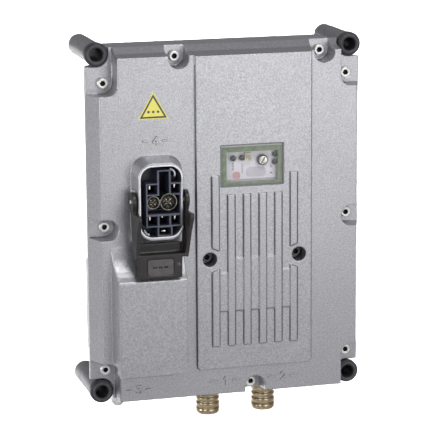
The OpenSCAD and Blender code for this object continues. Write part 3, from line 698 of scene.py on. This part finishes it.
def carrier_prints():
    """Plain dots, bars and patches on the plate behind the lid, as (x, z, width, height) in mm."""
    plate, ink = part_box("display_carrier")[0].y, 0.05 * MM
    prints = {"print_white": [], "print_pale": [], "print_dark": [], "print_red": []}
    prints["print_white"] += [(13.5 + k * 1.9, 38.3, 0.9, 0.9) for k in range(5)]
    prints["print_white"] += [(7.3, 41.4 - k * 2.0, 1.0, 0.8) for k in range(4)] + [(9.9, 31.2, 1.1, 0.8)]
    prints["print_pale"] += [(20, 33.7, 14.5, 7)]
    prints["print_dark"] += [(3.1, 40.3 - k * 1.1, 1.6, 0.45) for k in range(5)]
    prints["print_dark"] += [(10.0, 39.2 - k * 1.2, 1.2, 0.45) for k in range(6)]
    prints["print_dark"] += [(31.1, 38.6 - k * 1.1, 1.5, 0.5) for k in range(3)] + [(31.1, 32.4, 1.6, 0.8)]
    prints["print_red"] += [(5.7, 31.5, 5.6, 5.6)]
    for material, spots in prints.items():
        bm = bmesh.new()
        for x, z, wide, tall in spots:
            half, corner = (wide / 2 * MM, tall / 2 * MM), min(wide, tall) * 0.4 * MM
            rounded_plate(bm, (x * MM, z * MM), half, corner, plate, plate - ink)
        add("carrier_" + material, mesh_from(bm, False), "carrier_plate", material=material)


def carrier_rim():
    """A thin raised line round the plate, inside the gasket."""
    plate, width, rise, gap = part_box("display_carrier")[0].y, 0.5 * MM, 0.4 * MM, 2.8 * MM
    low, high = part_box("window_gasket")
    bm = bmesh.new()
    frame_prism(bm, box_outline(low, high, gap, 1 * MM), box_outline(low, high, gap + width, 0.5 * MM),
                plate, plate - rise)
    add("carrier_rim", mesh_from(bm), "carrier_plate", material="print_white")


def switch_knob():
    """The coding switch, with painted shade inside its slot."""
    knob = add("switch_knob", bevelled(cad_mesh("rotary_switch"), 0.12 * MM), "switch_metal", "switch_rotor",
               replaces=["rotary_switch"])
    low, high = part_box("rotary_switch")
    middle = (low + high) / 2

    def in_shaded_slot(c, n):
        return (low.y + 0.2 * MM < c.y < low.y + 1.2 * MM
                and math.hypot(c.x - middle.x, c.z - middle.z) < 2.7 * MM)

    # painted shade: the faces inside the slot take near-black metal
    paint_faces(knob, "recess", in_shaded_slot)


def lamp_bezels():
    """A pale ring round each status lamp."""
    plate, inner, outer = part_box("display_carrier")[0].y, 1.9 * MM, 3.1 * MM
    profile = [(inner, plate), (outer, plate), (outer - 0.1 * MM, plate - 0.25 * MM),
               (inner + 0.2 * MM, plate - 0.35 * MM), (inner, plate)]
    bm = bmesh.new()
    for low, high in solids("status_lamps"):
        lathe(profile, ((low.x + high.x) / 2, 0, (low.z + high.z) / 2), bm=bm, steps=40)
    add("lamp_bezels", mesh_from(bm), "carrier_plate", material="print_white")


def brackets():
    add("bracket_finish", bevelled(cad_mesh("insert_brackets"), 0.12 * MM), SLOT_OF["insert_brackets"],
        replaces=["insert_brackets"], material="bracket")


def connector():
    """The insert's front edges with a painted highlight, and the insulator, cross and contacts in each
    shield.
    """
    piece = add("insert_moulding", bevelled(cad_mesh("power_insert"), 0.1 * MM), "insert_plastic",
                replaces=["power_insert"])
    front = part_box("power_insert")[0].y
    # painted highlight: faces at the insert's front take a lighter plastic
    paint_faces(piece, "insert_edge", lambda c, n: c.y < front + 0.4 * MM)
    for node in ("data_shield_left", "data_shield_right"):
        low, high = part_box(node)
        x, z = (low.x + high.x) / 2, (low.z + high.z) / 2
        radius = (high.x - low.x) / 2 - 0.65 * MM  # inside the shield's wall
        plug_r, plug_face, plug_foot = radius - 0.02 * MM, low.y + 1.6 * MM, low.y + 7.3 * MM
        bm = bmesh.new()
        lathe([(0, plug_face), (radius - 0.1 * MM, plug_face), (plug_r, plug_face + 0.4 * MM),
               (plug_r, plug_foot), (0, plug_foot)], (x, 0, z), bm=bm)
        add(node + "_insulator", mesh_from(bm), "black_plastic")
        add(node + "_finish", bevelled(cad_mesh(node), 0.1 * MM), "contact_metal", replaces=[node],
            material="dull_metal")
        bm = bmesh.new()
        cross_turn, contact_count = 20, 8
        for turn in (cross_turn, cross_turn + 90):
            size = Matrix.Diagonal((2 * radius, 2 * MM, 0.3 * MM, 1))
            place = Matrix.Translation((x, low.y + 1.3 * MM, z)) @ Matrix.Rotation(math.radians(turn), 4, "Y")
            bmesh.ops.create_cube(bm, size=1, matrix=place @ size)
        for k in range(contact_count):
            angle = math.radians(cross_turn + (k + 0.5) * 360 / contact_count)
            at = (x + radius * 0.62 * math.cos(angle), 0, z + radius * 0.62 * math.sin(angle))
            lathe([(0, low.y + 0.7 * MM), (0.3 * MM, low.y + 0.7 * MM), (0.45 * MM, low.y + 1 * MM),
                   (0.45 * MM, low.y + 2.5 * MM), (0, low.y + 2.5 * MM)], at, steps=16, bm=bm)
        add(node + "_contacts", mesh_from(bm), "contact_brass", material="dull_metal")


def collar_edge():
    """The machined rim of the collar, bare metal round the mouth and set back in its notch."""
    low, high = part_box("power_insert")
    x, z, front = (low.x + high.x) / 2, 20.2 * MM, low.y
    outer_half, outer_corner, rim = (15.35 * MM, 25.6 * MM), 9.4 * MM, 0.9 * MM
    notch_x, notch_low, notch_high, notch_depth = x + 8 * MM, z - 18 * MM, z + 14 * MM, 3 * MM
    outer = rounded_outline((x, z), outer_half, outer_corner, 12)
    inner = rounded_outline((x, z), (outer_half[0] - rim, outer_half[1] - rim), outer_corner - rim, 12)
    bm = bmesh.new()
    frame_prism(bm, outer, inner, front + 0.25 * MM, front - 0.06 * MM)
    for vert in bm.verts:
        if vert.co.x > notch_x and notch_low < vert.co.z < notch_high:
            vert.co.y += notch_depth
    add("collar_rim", bevelled(mesh_from(bm), 0.1 * MM), "bare_aluminium")


def round_connectors():
    """Turned shells with an inner thread and grooved bands."""
    for node in ("round_shell_left", "round_shell_right"):
        low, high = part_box(node)
        centre = ((low.x + high.x) / 2, (low.y + high.y) / 2, 0)
        r = (high.x - low.x) / 2 / MM
        base = low.z
        profile = [(r - 1.5, 0), (r - 1.0, 0.15), (r - 0.15, 1.25), (r, 1.7), (r, 4.6), (r - 0.5, 4.9),
                   (r - 0.5, 5.5), (r, 5.8), (r, 8.4), (r - 0.25, 8.7),
                   (r - 0.75, 9.0), (r - 0.8, 10.2), (r - 0.3, 10.6), (r, 10.9), (r, 12.4), (r - 0.3, 12.7),
                   (r - 0.8, 13.1), (r - 0.8, 14.2), (r - 0.3, 14.6), (r, 15.0), (r, 21.4), (r - 0.3, 21.6),
                   (6.5, 21.6), (6.5, 34.2), (5.4, 34.2), (5.4, 6.2)]
        profile += [(6.0 + 0.25 * (k % 2), 6.0 - 0.45 * k) for k in range(12)] + [(6.3, 0.3)]
        bm = lathe([(a * MM, base + b * MM) for a, b in profile + profile[:1]], centre, "Z", 96)
        bmesh.ops.remove_doubles(bm, verts=bm.verts, dist=1e-6)
        add(node + "_turned", mesh_from(bm), "brass", replaces=[node])


def carried_over():
    """The inner parts keep their CAD shape and get their finish."""
    replaced = {n for o in bpy.data.objects for n in o.get("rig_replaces", [])}
    for node, made in frame["nodes"].items():
        if node not in replaced:
            made.data.materials.clear()
            made.data.materials.append(MATERIALS[SLOT_OF[node]])


# ---------------------------------------------------------------- stage

CAMERA_AT = Vector((-0.41985, -1.54246, 0.32956))
CAMERA_YAW, CAMERA_PITCH, CAMERA_ROLL = (math.radians(a) for a in (15.69, -12.16, -0.33))
LENS = 180.9


def camera():
    data = bpy.data.cameras.new("camera")
    data.lens = LENS
    data.sensor_width = 36
    data.clip_end = 50
    made = bpy.data.objects.new("camera", data)
    bpy.context.scene.collection.objects.link(made)
    level = math.cos(CAMERA_PITCH)
    ahead = Vector((math.sin(CAMERA_YAW) * level, math.cos(CAMERA_YAW) * level, math.sin(CAMERA_PITCH)))
    turn = ahead.to_track_quat("-Z", "Y").to_matrix().to_4x4()
    made.matrix_world = Matrix.Translation(CAMERA_AT) @ turn @ Matrix.Rotation(CAMERA_ROLL, 4, "Z")
    bpy.context.scene.camera = made


def area_light(name, at, target, size, power):
    data = bpy.data.lights.new(name, "AREA")
    data.shape = "RECTANGLE"
    data.size, data.size_y = size
    data.energy = power
    made = bpy.data.objects.new(name, data)
    bpy.context.scene.collection.objects.link(made)
    ahead = Vector(target) - Vector(at)
    made.matrix_world = Matrix.Translation(at) @ ahead.to_track_quat("-Z", "Y").to_matrix().to_4x4()
    return made


def sky():
    """Studio surroundings: an even grey, a little brighter overhead."""
    world = bpy.data.worlds.new("studio")
    world.use_nodes = True
    tree = world.node_tree
    coords = tree.nodes.new("ShaderNodeTexCoord")
    split = tree.nodes.new("ShaderNodeSeparateXYZ")
    tree.links.new(coords.outputs["Generated"], split.inputs["Vector"])
    ramp = tree.nodes.new("ShaderNodeValToRGB")
    levels = [(0.0, 0.29), (0.5, 0.24), (0.8, 0.27), (1.0, 0.36)]
    while len(ramp.color_ramp.elements) < len(levels):
        ramp.color_ramp.elements.new(0.5)
    for element, (position, level) in zip(ramp.color_ramp.elements, levels):
        element.position = position
        element.color = (level, level, level * 1.03, 1)
    tree.links.new(split.outputs["Z"], ramp.inputs["Fac"])
    tree.links.new(ramp.outputs["Color"], tree.nodes["Background"].inputs["Color"])
    bpy.context.scene.world = world


def stage():
    """A pale floor, the surroundings and the lights."""
    floor_z = -0.6
    bm = bmesh.new()
    bmesh.ops.create_grid(bm, x_segments=8, y_segments=8, size=9)
    floor = bpy.data.objects.new("floor", mesh_from(bm))
    floor.location.z = floor_z
    bpy.context.scene.collection.objects.link(floor)
    s = Surface("floor", specular=0.2)
    s.colour(s.ramp(s.noise(0.5), [(0.3, (0.9, 0.9, 0.9)), (0.7, (0.92, 0.92, 0.92))]))
    s.shader.inputs["Roughness"].default_value = 0.9
    floor.data.materials.append(s.material)
    sky()
    aim = (0, -0.05, 0)
    area_light("key", (0.25, -0.9, 0.05), aim, (0.45, 0.45), 1.36)
    area_light("above", (0.25, -0.9, 1.1), aim, (0.45, 0.45), 5.5)
    area_light("right", (0.75, -0.9, 0.05), aim, (0.45, 0.45), 0.5)
    area_light("left", (-0.75, -0.9, 0.19), aim, (0.45, 0.6), 2.1)
    area_light("side", (-1.2, -0.1, 0.1), aim, (0.45, 0.45), 4.5)
    area_light("top", (0, -0.1, 1.2), aim, (0.45, 0.45), 0.2)
    backdrop = area_light("backdrop", (1.2, 4.1, 2.2), (1.2, 4.1, floor_z), (5, 6.0), 230)
    backdrop.data.spread = math.radians(55)
    bpy.context.scene.view_settings.view_transform = "Standard"


castings()
bevelled_parts()
sleeves()
lever()
screws()
numerals()
sticker()
lid()
carrier_prints()
carrier_rim()
switch_knob()
lamp_bezels()
connector()
brackets()
collar_edge()
round_connectors()
carried_over()
camera()
stage()
